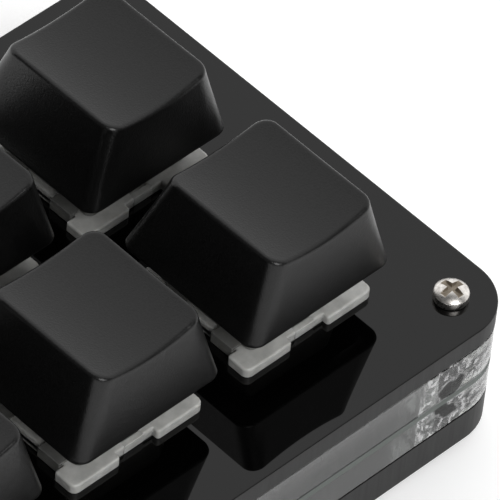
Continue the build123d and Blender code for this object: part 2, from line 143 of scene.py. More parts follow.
# a quarter of a circle of radius 1 as (how far in, how high): 1 less the sine, 1 less the cosine
def quarterRound(count):
    turn = np.linspace(0, quarterTurn, count)
    return np.stack([1 - np.sin(turn), 1 - np.cos(turn)], -1)


# edge of a sheet from its bottom face to its top face: a quarter round, the side and a quarter
# round, as (how far in, how high); a bore widens the lower part of a hole
def edgeProfile(thickness, edges, bore=None, steps=3):
    turn = quarterRound(steps + 1)
    foot, top = (np.vstack([[edge + hold, 0], edge * turn, [0, edge + hold]]) for edge in edges)
    top = top[::-1] * (1, -1) + (0, thickness)
    if bore is None:
        return np.vstack([foot, top])
    wider, depth = bore
    step = np.array([[wider, depth - hold], [wider, depth], [wider - hold, depth], [hold, depth], [0, depth]])
    return np.vstack([foot + (wider, 0), step, [0, depth + hold], top])


# a flat sheet: each loop is carried up its edge profile, and two flat faces close it
def sheetShell(loops, low, high, edge, bores=None):
    points, faces, rims, start = [], [], [], 0
    for place, (loop, outward) in enumerate(loops):
        profile = edgeProfile(high - low, np.broadcast_to(edge, 2), (bores or {}).get(place))
        flat = loop[None] - profile[:, :1, None] * outward[None]
        level = np.broadcast_to((low + profile[:, 1])[:, None, None], flat.shape[:2] + (1,))
        rows, around = flat.shape[:2]
        points.append(np.concatenate([flat, level], -1).reshape(-1, 3))
        faces += (stripFaces(rows, around) + start).tolist()
        rims.append((np.arange(around) + start, np.arange(around) + start + (rows - 1) * around))
        start += rows * around
    points = np.vstack(points)
    for end, way in ((0, -1), (1, 1)):
        index = np.concatenate([rim[end] for rim in rims])
        flat = [np.pad(points[rim[end], :2], ((0, 0), (0, 1))).tolist() for rim in rims]
        triangle = index[np.array(geometry.tessellate_polygon(flat))]
        a, b, c = (points[triangle[:, k], :2] for k in range(3))
        area = (b - a)[:, 0] * (c - a)[:, 1] - (b - a)[:, 1] * (c - a)[:, 0]
        kept = np.abs(area) > leastArea
        turned, triangle = (area[kept] * way < 0)[:, None], triangle[kept]
        faces += np.where(turned, triangle[:, ::-1], triangle).tolist()
    return points, faces


# distance from the middle to the edge of a rounded box, in each direction
def roundedPolar(angle, halfX, halfY, corner):
    c, s = np.abs(np.cos(angle)) + tiny, np.abs(np.sin(angle)) + tiny
    straight = np.minimum(halfX / c, halfY / s)
    inX, inY = halfX - corner, halfY - corner
    along = c * inX + s * inY
    arc = along + np.sqrt(np.maximum(along**2 - inX**2 - inY**2 + corner**2, 0))
    return np.where((straight * c > inX) & (straight * s > inY), arc, straight)


# the same for two crossed bars, whichever reaches further
def crossPolar(angle, halfLength, halfWidth):
    c, s = np.abs(np.cos(angle)) + tiny, np.abs(np.sin(angle)) + tiny
    return np.maximum(np.minimum(halfLength / c, halfWidth / s), np.minimum(halfWidth / c, halfLength / s))


# directions round a piece, drawn together towards the four diagonals where its corners are
def cornerAngles(count, pull=0.8):
    even = np.linspace(0, fullTurn, count, endpoint=False)
    return even + pull * np.sin(4 * even) / 4


# one flat ring from its distance in each direction, or one distance all round
def flatRing(angle, reach, level, centre=(0, 0)):
    x, y = centre[0] + reach * np.cos(angle), centre[1] + reach * np.sin(angle)
    return np.stack([x, y, np.broadcast_to(level, x.shape)], -1)


# a profile of (radius, level) turned about an upright axis
def turnedShell(profile, centre=(0, 0), around=48):
    angle = np.linspace(0, fullTurn, around, endpoint=False)
    return ringShell(np.stack([flatRing(angle, r, z, centre) for r, z in profile]))


# volume inside a shell, below zero where its faces point in
def shellVolume(points, faces):
    fans = np.array([(f[0], f[k], f[k + 1]) for f in faces for k in range(1, len(f) - 1)])
    a, b, c = (points[fans[:, k]] for k in range(3))
    return (a * np.cross(b, c)).sum() / 6


def addObject(name, data):
    made = bpy.data.objects.new(name, data)
    bpy.context.scene.collection.objects.link(made)
    return made


# shells in millimetres become one piece that rides on a body and stands for its CAD nodes
def addPiece(name, shells, slot, nodes, marks=None, body="case"):
    points, faces, start = [], [], 0
    for shellPoints, shellFaces in shells:
        shellPoints = np.asarray(shellPoints, float)
        way = -1 if shellVolume(shellPoints, shellFaces) < 0 else 1
        points.append(shellPoints)
        faces += [[start + corner for corner in face[::way]] for face in shellFaces]
        start += len(shellPoints)
    mesh = bpy.data.meshes.new(name)
    mesh.from_pydata(np.vstack(points) * mm, [], faces, shade_flat=False)
    for label, values in (marks or {}).items():
        mesh.attributes.new(label, "FLOAT", "POINT").data.foreach_set("value", values.astype(np.float32))
    mesh.materials.append(finishes[slot])
    piece = addObject(name, mesh)
    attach(piece, body)
    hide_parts(*nodes)
    return piece


class Wire:
    # one socket of a node tree; sums on it add Math nodes
    def __init__(self, tree, socket=None):
        self.tree, self.socket = tree, socket

    # any node, from its type, its settings and what goes into its sockets
    def node(self, kind, settings=None, inputs=None, output=0):
        made = self.tree.nodes.new(kind)
        for key, value in (settings or {}).items():
            setattr(made, key, value)
        for key, value in (inputs or {}).items():
            if isinstance(value, Wire):
                self.tree.links.new(value.socket, made.inputs[key])
            else:
                made.inputs[key].default_value = value
        return Wire(self.tree, made.outputs[output])

    def into(self, shader, name):
        self.tree.links.new(self.socket, shader.inputs[name])

    def sums(self, operation, first, second):
        return self.node("ShaderNodeMath", {"operation": operation}, {0: first, 1: second})

    __add__ = __radd__ = lambda self, other: self.sums("ADD", self, other)
    __mul__ = __rmul__ = lambda self, other: self.sums("MULTIPLY", self, other)
    __sub__ = lambda self, other: self.sums("SUBTRACT", self, other)
    __rsub__ = lambda self, other: self.sums("SUBTRACT", other, self)


# a new material, with the values that are the same all over set on its shader
def newFinish(name, values):
    finish = bpy.data.materials.new(name)
    finish.use_nodes = True
    shader = finish.node_tree.nodes["Principled BSDF"]
    for socket, value in values.items():
        shader.inputs[socket].default_value = value
    return finish, Wire(finish.node_tree).node("ShaderNodeTexCoord", output="Object"), shader


def noise(place, scale, detail=3.0, roughness=0.55):
    inputs = {"Vector": place, "Scale": scale, "Detail": detail, "Roughness": roughness}
    return place.node("ShaderNodeTexNoise", None, inputs)


# object coordinates stretched by a factor for each axis
def stretched(place, factors):
    return place.node("ShaderNodeVectorMath", {"operation": "MULTIPLY"}, {0: place, 1: factors})


# how far a place lies along a direction
def alongWay(place, way):
    return place.node("ShaderNodeVectorMath", {"operation": "DOT_PRODUCT"}, {0: place, 1: way}, "Value")


# a value stored with the points of a mesh
def mark(place, name):
    return place.node("ShaderNodeAttribute", {"attribute_name": name}, None, "Fac")


def stretchedNoise(place, factors, detail=3.0, roughness=0.55):
    return noise(stretched(place, factors), 1.0, detail, roughness)


# a noise pattern as a change to both sides of zero
def swing(pattern, amount):
    return amount * (pattern - 0.5)


def mixed(share, first, second):
    return share.node("ShaderNodeMix", {"data_type": "RGBA"}, {0: share, 6: first, 7: second}, 2)


def span(value, low, high, outLow=0.0, outHigh=1.0):
    inputs = {"Value": value, "From Min": low, "From Max": high, "To Min": outLow, "To Max": outHigh}
    return value.node("ShaderNodeMapRange", {"clamp": True}, inputs)


def grey(value, tint=(1, 1, 1)):
    return (value * tint[0], value * tint[1], value * tint[2], 1)


def deepened(colour, share):
    return tuple(share * c for c in colour[:3]) + (1,)


def bump(height, shader, strength, distance):
    inputs = {"Height": height, "Strength": strength, "Distance": distance * mm}
    height.node("ShaderNodeBump", None, inputs).into(shader, "Normal")


# how far a face is turned from level: 0 on flat faces, 1 on upright sides
def sideShare(place, level=0.75, upright=0.25):
    normal = place.node("ShaderNodeNewGeometry", output="True Normal")
    rise = place.node("ShaderNodeSeparateXYZ", None, {0: normal}, "Z")
    return span(rise * rise, level, upright)


capLook = {"ior": 1.4, "dark": grey(0.002), "light": grey(0.006), "speckle": (0.3, 0.7), "grain": (5200, 2),
           "mottle": (1500, 3), "mottleShare": 0.25, "roughness": 0.31, "uneven": 0.14,
           "bump": (0.75, 0.03)}


def capPlastic(look=capLook):
    finish, place, shader = newFinish("capPlastic", {"IOR": look["ior"]})
    grain, mottle = noise(place, *look["grain"]), noise(place, *look["mottle"])
    mixed(span(grain, *look["speckle"]), look["dark"], look["light"]).into(shader, "Base Color")
    (look["roughness"] + swing(mottle, look["uneven"])).into(shader, "Roughness")
    bump(grain + look["mottleShare"] * mottle, shader, *look["bump"])
    return finish


plateLook = {"ior": 1.4, "colour": grey(0.0006), "cutColour": grey(0.003), "lines": (2600, 2600, 160),
             "smear": (90, 4), "smearRange": (0.5, 0.8), "smearDull": 0.02, "polish": 0.015, "cut": 0.5,
             "cutUneven": 0.16, "bump": (0.25, 0.02)}


# polished faces with a few smears, and cut sides with upright saw lines
def blackAcrylic(look=plateLook):
    finish, place, shader = newFinish("blackAcrylic", {"IOR": look["ior"]})
    side, lines = sideShare(place), stretchedNoise(place, look["lines"])
    smear = span(noise(place, *look["smear"]), *look["smearRange"])
    mixed(side * lines, look["colour"], look["cutColour"]).into(shader, "Base Color")
    cut = side * (look["cut"] + swing(lines, look["cutUneven"]))
    (look["polish"] + look["smearDull"] * smear + cut).into(shader, "Roughness")
    bump(side * lines, shader, *look["bump"])
    return finish


# grains are a stretch, a detail and a roughness; ranges are where a grain starts and ends to show
# a bore is its place along the long sides and the short sides, level, half width, half height and slope
clearLook = {
    "ior": 1.49, "tint": (0.80, 0.83, 0.81, 1), "lineTint": grey(0.7), "polish": 0.01, "cut": 0.04,
    "cutUneven": 0.08, "sawnDull": 0.1, "lineBump": 0.04, "bump": (1.0, 0.5),
    "frost": grey(0.13), "frostTop": grey(0.2), "frostLevel": (11.5, 14.0), "haze": (0.5, 0.66),
    # white of the painted glints on the crazing near the corners, and the frost colour of the chipped inner
    # faces
    "chipAndGlintWhite": grey(0.85), "crazeGlint": 0.42, "glintCorner": (26.9, 15.1), "glintCornerFade": 0.5, "ragged": 5.0,
    "lined": (34.5, 36.5), "chips": (0.0, 0.5),
    # the seam colour is a band of painted shade along the top of the lower sheet, with its depth, fade and
    # share
    "seam": (0.13, 0.142, 0.135, 1), "seamShadeDepth": 0.85, "seamShadeFade": 0.15, "seamShadeShare": 0.85,
    # painted shade round the screw holes, darkest at their lower ends; the same dark colour paints the ovals
    "holeShade": grey(0.03), "holeShadeFrom": 0.74, "holeShadeFade": 0.04,
    # painted dark ovals where the screw holes would show through the sides
    "boreShare": 0.6, "boreWave": 2.2, "boreNoise": (420, 3), "boreFade": (0.55, 1.1),
    "bores": ((31.5, 19.7, 10.75, 2.0, 1.35, 0.0), (30.9, 19.1, 7.9, 2.1, 1.0, 0.55)),
    "lineGrain": ((300, 300, 2400), 4, 0.65), "lineRange": (0.55, 0.75),
    "streakGrain": ((1500, 1500, 120), 4, 0.65), "streakRange": (0.3, 0.75),
    "chipGrain": ((1300, 1300, 1300), 5, 0.75), "chipRange": (0.46, 0.58),
    "cellGrain": ((1700, 1700, 1300), 3, 0.7), "cellRange": (0.49, 0.6),
    "rowGrain": ((260, 260, 1500), 3, 0.7), "rowRange": (0.48, 0.58),
}


# painted shade: dark ovals on the sides near their ends, where the screw hole would show through: 1 where the
# distance from an oval's middle, in half widths and half heights, is short
def boreShadeOvals(place, x, y, z, look=clearLook):
    wave = swing(noise(place, *look["boreNoise"]), look["boreWave"])
    ovals = 0.0
    for alongX, alongY, level, wide, tall, slope in look["bores"]:
        for along in (x - alongX, y - alongY):
            across = (along + wave) * (1 / wide)
            up = (z - level + wave + slope * along) * (1 / tall)
            ovals = ovals + span(across * across + up * up, *look["boreFade"], 1.0, 0.0)
    return ovals


# the straight cuts are frosted in faint streaks, with a band of painted shade along the top of the lower
# sheet; round the screws the sheet has crazing outside, with painted glints, and is chipped inside, and the
# screw holes get painted shade towards their lower ends
def clearAcrylic(look=clearLook):
    finish, place, shader = newFinish("clearAcrylic", {"IOR": look["ior"], "Transmission Weight": 1.0})
    shown = lambda name, grain, *ends: span(grain, *look[name + "Range"], *ends)
    grains = (look[name + "Grain"] for name in ("line", "streak", "chip", "cell", "row"))
    lines, streaks, chips, cells, rows = (stretchedNoise(place, *grain) for grain in grains)
    side, sawn = sideShare(place), mark(place, "sawn")
    away = place.node("ShaderNodeVectorMath", {"operation": "ABSOLUTE"}, {0: stretched(place, (1 / mm,) * 3)})
    x, y, z = (away.node("ShaderNodeSeparateXYZ", None, {0: away}, axis) for axis in "XYZ")
    # dark ovals of painted shade where the screw holes would show through
    bore = boreShadeOvals(place, x, y, z)
    ragged, fade = swing(streaks, look["ragged"]), look["glintCornerFade"]
    corner = 1.0
    for along, start in zip((x, y), look["glintCorner"]):
        corner = corner * span(along + ragged, start, start + fade)
    lined = span(x, *look["lined"])
    seamShadeDepth, holeShadeFrom = look["seamShadeDepth"], look["holeShadeFrom"]
    # a band of painted shade along the top of the lower sheet
    band = side * span(mark(place, "below"), seamShadeDepth - look["seamShadeFade"], seamShadeDepth, 1.0, 0.0)
    # painted shade round the screw holes, darker towards the bottom of the sheet
    holeShade = span(mark(place, "holeShade"), holeShadeFrom - look["holeShadeFade"], holeShadeFrom)

    mixed(side * shown("line", lines), look["tint"], look["lineTint"]).into(shader, "Base Color")
    cut = look["cut"] + swing(lines, look["cutUneven"]) + sawn * look["sawnDull"]
    (look["polish"] + side * cut).into(shader, "Roughness")
    bump(side * (look["lineBump"] * lines + sawn * chips), shader, *look["bump"])

    frost = mixed(span(z, *look["frostLevel"]), look["frost"], look["frostTop"])
    colour = mixed(holeShade, mixed(corner, frost, look["chipAndGlintWhite"]), look["holeShade"])
    colour = mixed(band, mixed(bore, colour, look["holeShade"]), look["seam"])
    veil = place.node("ShaderNodeBsdfPrincipled", None,
                      {"Base Color": colour, "Roughness": 1.0, "Specular IOR Level": 0.0})
    frosted = (1 - corner) * shown("streak", streaks, *look["haze"])
    # bright cells and rows on the crazing are painted glints
    glintCracks = (shown("cell", cells) * (1 - lined) + shown("row", rows) * lined) * look["crazeGlint"]
    glintCorner = corner * (1 - sawn) * (glintCracks * (1 - bore) + bore * look["boreShare"])
    chipped = sawn * shown("chip", chips, *look["chips"])
    share = side * (frosted + glintCorner + chipped + holeShade) * (1 - band) + band * look["seamShadeShare"]
    front = Wire(finish.node_tree, shader.outputs[0])
    both = place.node("ShaderNodeMixShader", None, {0: share, 1: front, 2: veil})
    both.into(finish.node_tree.nodes["Material Output"], "Surface")
    return finish


milkLook = {"ior": 1.5, "scatter": 0.35, "scatterTint": (1.0, 0.95, 0.85), "cloud": (700, 3),
            "cloudRange": (0.35, 0.65), "deep": 0.76, "grain": (4200, 2), "uneven": 0.12,
            "bump": (0.15, 0.02)}


# cloudy plastic that light enters a little way
def milkyPlastic(name, colour, roughness, look=milkLook):
    finish, place, shader = newFinish(name, {
        "IOR": look["ior"], "Subsurface Weight": look["scatter"],
        "Subsurface Radius": look["scatterTint"], "Subsurface Scale": mm})
    cloud = span(noise(place, *look["cloud"]), *look["cloudRange"])
    grain = noise(place, *look["grain"])
    mixed(cloud, deepened(colour, look["deep"]), colour).into(shader, "Base Color")
    (roughness + swing(grain, look["uneven"])).into(shader, "Roughness")
    bump(grain, shader, *look["bump"])
    return finish


# the recess colour is a darker brown for painted shade in the cross recess
screwLook = {"bright": (0.84, 0.81, 0.77, 1), "worn": grey(0.5, (1, 0.95, 0.9)),
             "recess": (0.30, 0.26, 0.21, 1), "wear": (2600, 4), "wornRange": (0.35, 0.75),
             "dullRange": (0.4, 0.8), "roughness": 0.24, "wornDull": 0.25, "recessDull": 0.2,
             "bump": (0.12, 0.02)}


# plated metal, worn in spots, and painted darker brown in the recess for shade
def screwNickel(look=screwLook):
    finish, place, shader = newFinish("screwNickel", {"Metallic": 1.0})
    depth = mark(place, "recess")
    wear = noise(place, *look["wear"])
    bright = mixed(span(wear, *look["wornRange"]), look["bright"], look["worn"])
    # painted shade in the cross recess
    mixed(depth, bright, look["recess"]).into(shader, "Base Color")
    dull = look["wornDull"] * span(wear, *look["dullRange"]) + look["recessDull"] * depth
    (look["roughness"] + dull).into(shader, "Roughness")
    bump(wear, shader, *look["bump"])
    return finish


metalLook = {"brush": (300, 300, 4000), "stain": (500, 3), "stainRange": (0.35, 0.75), "stained": 0.72,
             "uneven": 0.2, "bump": (0.12, 0.01)}


# bare metal with a fine brushed grain along one axis
def brushedMetal(name, colour, roughness, stretch=metalLook["brush"], look=metalLook):
    finish, place, shader = newFinish(name, {"Metallic": 1.0})
    brush = stretchedNoise(place, stretch)
    stain = span(noise(place, *look["stain"]), *look["stainRange"])
    mixed(stain, colour, deepened(colour, look["stained"])).into(shader, "Base Color")
    (roughness + swing(brush, look["uneven"])).into(shader, "Roughness")
    bump(brush, shader, *look["bump"])
    return finish


skinLook = {"ior": 1.5, "grain": 3600, "cloud": (600, 3), "cloudRange": (0.3, 0.7), "deep": 0.7,
            "uneven": 0.15, "bump": (0.2, 0.02)}


# moulded plastic, rubber or ceramic with a mottled colour and a fine skin
def mouldedSkin(name, colour, roughness, grain=skinLook["grain"], look=skinLook):
    finish, place, shader = newFinish(name, {"IOR": look["ior"]})
    skin = noise(place, grain)
    cloud = span(noise(place, *look["cloud"]), *look["cloudRange"])
    mixed(cloud, deepened(colour, look["deep"]), colour).into(shader, "Base Color")
    (roughness + swing(skin, look["uneven"])).into(shader, "Roughness")
    bump(skin, shader, *look["bump"])
    return finish


boardLook = {"ior": 1.55, "mask": (0.012, 0.075, 0.03, 1), "trace": (0.02, 0.13, 0.05, 1),
             "edge": (0.30, 0.34, 0.16, 1), "traces": 260, "gap": 0.05, "length": 1.6, "width": 0.35,
             "shift": 0.37, "weave": (900, 900, 5000), "weaveRange": (0.2, 0.8), "edgeShare": (0.6, 1.0),
             "roughness": 0.28, "edgeDull": 0.35, "uneven": 0.1, "bump": (0.2, 0.02)}


# green board with faint traces on its faces and the woven core on its edges
def boardLaminate(look=boardLook):
    finish, place, shader = newFinish("boardLaminate", {"IOR": look["ior"]})
    trace = place.node("ShaderNodeTexBrick", {"offset": look["shift"], "squash": 1.0}, {
        "Vector": place, "Scale": look["traces"], "Mortar Size": look["gap"],
        "Brick Width": look["length"], "Row Height": look["width"]}, "Fac")
    side, weave = sideShare(place), stretchedNoise(place, look["weave"])
    face = mixed(trace, look["mask"], look["trace"])
    woven = side * span(weave, *look["weaveRange"], *look["edgeShare"])
    mixed(woven, face, look["edge"]).into(shader, "Base Color")
    dull = look["edgeDull"] * side + swing(weave, look["uneven"])
    (look["roughness"] + dull).into(shader, "Roughness")
    bump(trace + side * weave, shader, *look["bump"])
    return finish


tongueLook = {"ior": 1.5, "pitch": 0.25, "strip": (0.12, 0.15), "plastic": grey(0.012),
              "gold": (0.75, 0.55, 0.25, 1), "grain": (3000, 3), "roughness": 0.45, "goldPolish": 0.2,
              "uneven": 0.1}


# tongue of the socket: dark plastic with contact strips across it
def tonguePlastic(look=tongueLook):
    finish, place, shader = newFinish("tonguePlastic", {"IOR": look["ior"]})
    across = place.node("ShaderNodeSeparateXYZ", None, {0: place}, "X")
    pitch = look["pitch"] * mm
    stripes = place.node("ShaderNodeMath", {"operation": "PINGPONG"}, {0: across, 1: pitch})
    strip = span(stripes, *(end * mm for end in look["strip"]))
    grain = noise(place, *look["grain"])
    mixed(strip, look["plastic"], look["gold"]).into(shader, "Base Color")
    strip.into(shader, "Metallic")
    dull = swing(grain, look["uneven"]) - look["goldPolish"] * strip
    (look["roughness"] + dull).into(shader, "Roughness")
    return finish


finishes = {
    "cap_plastic": capPlastic(),
    "stem_plastic": mouldedSkin("stemPlastic", (0.42, 0.02, 0.02, 1), 0.4),
    "spring_steel": brushedMetal("springSteel", (0.62, 0.60, 0.57, 1), 0.28),
    # the hood's grey is set far darker than the housing's, as painted shade under the caps
    "hood_plastic": milkyPlastic("hoodPlastic", (0.18, 0.18, 0.17, 1), 0.3),
    "housing_plastic": milkyPlastic("housingPlastic", (0.51, 0.51, 0.49, 1), 0.38),
    "contact_metal": brushedMetal("contactMetal", (0.78, 0.52, 0.28, 1), 0.3),
    "black_acrylic": blackAcrylic(),
    "clear_acrylic": clearAcrylic(),
    "screw_nickel": screwNickel(),
    "standoff_metal": brushedMetal("standoffMetal", (0.70, 0.68, 0.64, 1), 0.3),
    "foot_rubber": mouldedSkin("footRubber", grey(0.018), 0.75, 2400),
    "board_laminate": boardLaminate(),
    "socket_steel": brushedMetal("socketSteel", (0.66, 0.65, 0.63, 1), 0.26, (2500, 200, 2500)),
    "socket_plastic": tonguePlastic(),
    "chip_plastic": mouldedSkin("chipPlastic", grey(0.022), 0.55, 5000),
    "capacitor_ceramic": mouldedSkin("capacitorCeramic", (0.36, 0.23, 0.12, 1), 0.5),
    "light_plastic": mouldedSkin("lightPlastic", (0.78, 0.76, 0.68, 1), 0.3),
}
print("finishes ready:", len(finishes))

# CAD nodes that stay as they are take their finish from the record's slot
for node in frame["nodes"].values():
    for place in node.material_slots:
        kept = place.material.name.split(".")[0] if place.material else ""
        if kept in finishes:
            place.material = finishes[kept]

plateLow, plateHigh = nodeBox("top_plate")
halfX, halfY, plateTop = plateHigh
sheet = {"corner": 5.6, "cornerSteps": 16, "edge": 0.12, "screwInset": 4.8, "screwHole": 1.1,
         "headHole": 2.0, "headDepth": 1.7, "standoffHole": 1.7, "cutOut": 7.0, "cutCorner": 0.3}
screwX, screwY = halfX - sheet["screwInset"], halfY - sheet["screwInset"]
screwPlaces = [(x, y) for x in (-screwX, screwX) for y in (-screwY, screwY)]
keyPlaces = {key: sum(nodeBox("keycap_" + key))[:2] / 2 for key in keyNames}
plateOutline = roundedLoop(boxCorners((0, 0), halfX, halfY), sheet["corner"], sheet["cornerSteps"])
plateHoles = [roundHole(place, sheet["screwHole"]) for place in screwPlaces]

# top plate with a square cut-out under each switch
cutOuts = [roundedLoop(boxCorners(place, sheet["cutOut"], sheet["cutOut"], True), sheet["cutCorner"], steps=4)
           for place in keyPlaces.values()]
shell = sheetShell([plateOutline] + cutOuts + plateHoles, plateLow[2], plateTop, sheet["edge"])
addPiece("plate_top", [shell], "black_acrylic", ["top_plate"])

# bottom plate, its screw holes widened below for the heads
low, high = nodeBox("bottom_plate")
lowerSeat = low[2] + sheet["headDepth"]
bore = (sheet["headHole"] - sheet["screwHole"], sheet["headDepth"])
bores = {k + 1: bore for k in range(len(screwPlaces))}
shell = sheetShell([plateOutline] + plateHoles, low[2], high[2], sheet["edge"], bores)
addPiece("plate_bottom", [shell], "black_acrylic", ["bottom_plate"])

clear = {"wall": 6.0, "boss": 10.0, "inner": 1.0, "notch": 5.4, "notchCorner": 0.4, "steps": 12,
         "edge": 0.2, "airGap": 0.02, "sawnDepth": 2.5, "sawnReach": 1.0, "holeShadeReach": 0.5, "noSeamShade": 9.0}

# clear frames: one outline that runs round the outside, in at the socket notch and back round the inside
wallX, wallY = halfX - clear["wall"], halfY - clear["wall"]
bossX, bossY = halfX - clear["boss"], halfY - clear["boss"]
notch, notchCorner, gap = clear["notch"], [clear["notchCorner"]], clear["airGap"]
frameCorners = [(-notch, halfY), (-halfX, halfY), (-halfX, -halfY), (halfX, -halfY), (halfX, halfY),
                (notch, halfY), (notch, wallY), (bossX, wallY), (bossX, bossY), (wallX, bossY),
                (wallX, -bossY), (bossX, -bossY), (bossX, -wallY), (-bossX, -wallY), (-bossX, -bossY),
                (-wallX, -bossY), (-wallX, bossY), (-bossX, bossY), (-bossX, wallY), (-notch, wallY)]
frameRadii = notchCorner + [sheet["corner"]] * 4 + notchCorner * 2 + [clear["inner"]] * 12 + notchCorner
frameOutline = roundedLoop(frameCorners, frameRadii, clear["steps"])
standoffHoles = [roundHole(place, sheet["standoffHole"]) for place in screwPlaces]
for node, name in (("upper_clear_frame", "clear_upper"), ("lower_clear_frame", "clear_lower")):
    low, high = nodeBox(node)
    bottom, top = low[2] + gap, high[2] - gap  # a film of air keeps light in the sheet
    shell = sheetShell([frameOutline] + standoffHoles, bottom, top, clear["edge"])
    x, y, z = np.abs(shell[0].T)
    inside = np.minimum(halfX - x, halfY - y) > clear["sawnDepth"]
    corner = (x > bossX - clear["sawnReach"]) & (y > bossY - clear["sawnReach"])
    # the mark near each screw hole grows towards the bottom of the sheet, for painted shade
    hole = np.hypot(x - screwX, y - screwY) < sheet["standoffHole"] + clear["holeShadeReach"]
    marks = {"sawn": inside & corner, "holeShade": hole * (top - z) / (top - bottom),
             # the upper sheet's depth is pushed past the band, so only the lower sheet gets the painted shade
             "below": top - z + clear["noSeamShade"] * (name == "clear_upper")}
    addPiece(name, [shell], "clear_acrylic", [node], marks)
print("plates and clear frames built")

screw = {"radius": 1.0, "thread": 0.12, "pitch": 0.4, "threadSteps": 72, "tip": 0.35, "tipLength": 0.4,
         "neck": 0.1, "plainLength": 0.3, "head": 1.75, "side": 0.8, "height": 1.5, "edge": 0.14,
         "edgeShare": 0.3, "shoulder": ((0.0, 0.12), (0.02, 0.04)), "armLength": 1.2, "armWidth": 0.33,
         "armMouth": 1.06, "depth": 0.5, "crownShares": (0.06, 0.14, 0.3, 0.5, 0.7, 0.86, 0.95, 1.0),
         "recessShares": ((1.0, 0.07), (0.94, 0.2), (0.72, 0.9), (0.5, 1.0)), "around": 192, "pull": 0.7}


# a screw from its tip to the bottom of its cross recess: threaded shank, flat under the head, rounded
# side, domed crown that runs in from a circle to the cross, sloping recess walls
def screwRings(length):
    radius, head, side, edge, height, neck = picked(screw, "radius head side edge height neck")
    angle = cornerAngles(screw["around"], screw["pull"])
    cross = crossPolar(angle, screw["armLength"], screw["armWidth"])
    dome, part = height - side, screw["edgeShare"] * edge
    ball = (head**2 + dome**2) / (2 * dome)
    crown = lambda r: height - ball + np.sqrt(ball**2 - r**2)
    climb = np.linspace(-length + screw["tipLength"], -screw["plainLength"], screw["threadSteps"])[:, None]
    wave = np.abs((climb / screw["pitch"] - angle / fullTurn) % 1 - 0.5) * 2
    rings = [flatRing(angle, radius - screw["tip"], -length)]
    rings += [flatRing(angle, radius - screw["thread"] * w, z[0]) for w, z in zip(wave, climb)]
    plain = [(radius - neck, -neck), (radius, 0), (head - edge, 0), (head - part, part), (head, edge)]
    plain += [(head - inward, side - below) for inward, below in screw["shoulder"]]
    rings += [flatRing(angle, r, z) for r, z in plain]
    for share in screw["crownShares"]:
        reach = head + share * (cross * screw["armMouth"] - head)
        rings.append(flatRing(angle, reach, crown(reach)))
    outside = len(rings) * len(angle)
    for share, drop in screw["recessShares"]:
        level = crown(cross) * (1 - drop) + (height - screw["depth"]) * drop
        rings.append(flatRing(angle, cross * share, level))
    return np.stack(rings), outside


# the same screw at each corner, head up or head down
def cornerScrews(name, node, seat, length, way):
    rings, outside = screwRings(length)
    points, faces = ringShell(rings)
    shells = [(points * (1, 1, way) + (*place, seat), faces) for place in screwPlaces]
    recess = (np.arange(len(points)) >= outside).astype(float)
    recess[-2] = 0  # the tip's own middle
    addPiece(name, shells, "screw_nickel", [node], {"recess": np.tile(recess, len(shells))})


cornerScrews("screws_top", "top_screws", plateTop, plateTop - nodeBox("top_screws")[0][2], 1)
cornerScrews("screws_bottom", "bottom_screws", lowerSeat, nodeBox("bottom_screws")[1][2] - lowerSeat, -1)

foot = {"radius": 4.0, "edge": 0.35, "edgeSteps": 5, "hollow": 0.12, "hollowRadii": (1.2, 2.4), "sole": 2.8,
        "topEdge": 0.1, "topMiddle": 1.0}

# feet turned from a profile: a shallow hollow below, a rounded edge, the side and the flat top
top = nodeBox("rubber_feet")[1]
radius, edge, rim = picked(foot, "radius edge topEdge")
footX, footY = top[:2] - radius
profile = [(r, foot["hollow"]) for r in foot["hollowRadii"]] + [(foot["sole"], 0.0)]
profile += [(radius - edge * inward, edge * rise) for inward, rise in quarterRound(foot["edgeSteps"])]
profile += [(radius, top[2] - rim), (radius - rim, top[2]), (foot["topMiddle"], top[2])]
shells = [turnedShell(profile, (x, y)) for x in (-footX, footX) for y in (-footY, footY)]
addPiece("feet", shells, "foot_rubber", ["rubber_feet"])
print("screws and feet built")

cap = {"base": 9.05, "corner": 1.5, "backHeight": 9.5, "frontHeight": 9.4, "sideInset": 2.7,
       "backInset": 0.68, "frontInset": 2.85, "dish": 1.0, "edge": 0.5, "edgeSteps": 8,
       "wallShares": (0.03, 0.25, 0.5, 0.75, 0.97),
       "dishShares": (0.985, 0.94, 0.85, 0.72, 0.58, 0.44, 0.3, 0.18, 0.08), "skirtEdge": 0.22,
       "skirtSteps": 4, "wall": 1.3, "innerCorner": 1.15, "innerShares": (0.4, 0.2, 0.02), "innerLip": 0.15,
       "roof": 6.8, "roofBend": ((0.5, 0.0), (0.15, 0.08), (0.02, 0.4)), "post": 2.75, "postBase": 1.6,
       "postEdge": 0.1, "postFillet": 0.3, "slotTop": 4.95, "slotLength": 2.03, "slotWidth": 0.63,
       "slotMiddle": 0.6, "slotMouth": 0.12, "slotBevel": 0.15, "meetSteps": 8, "around": 192}


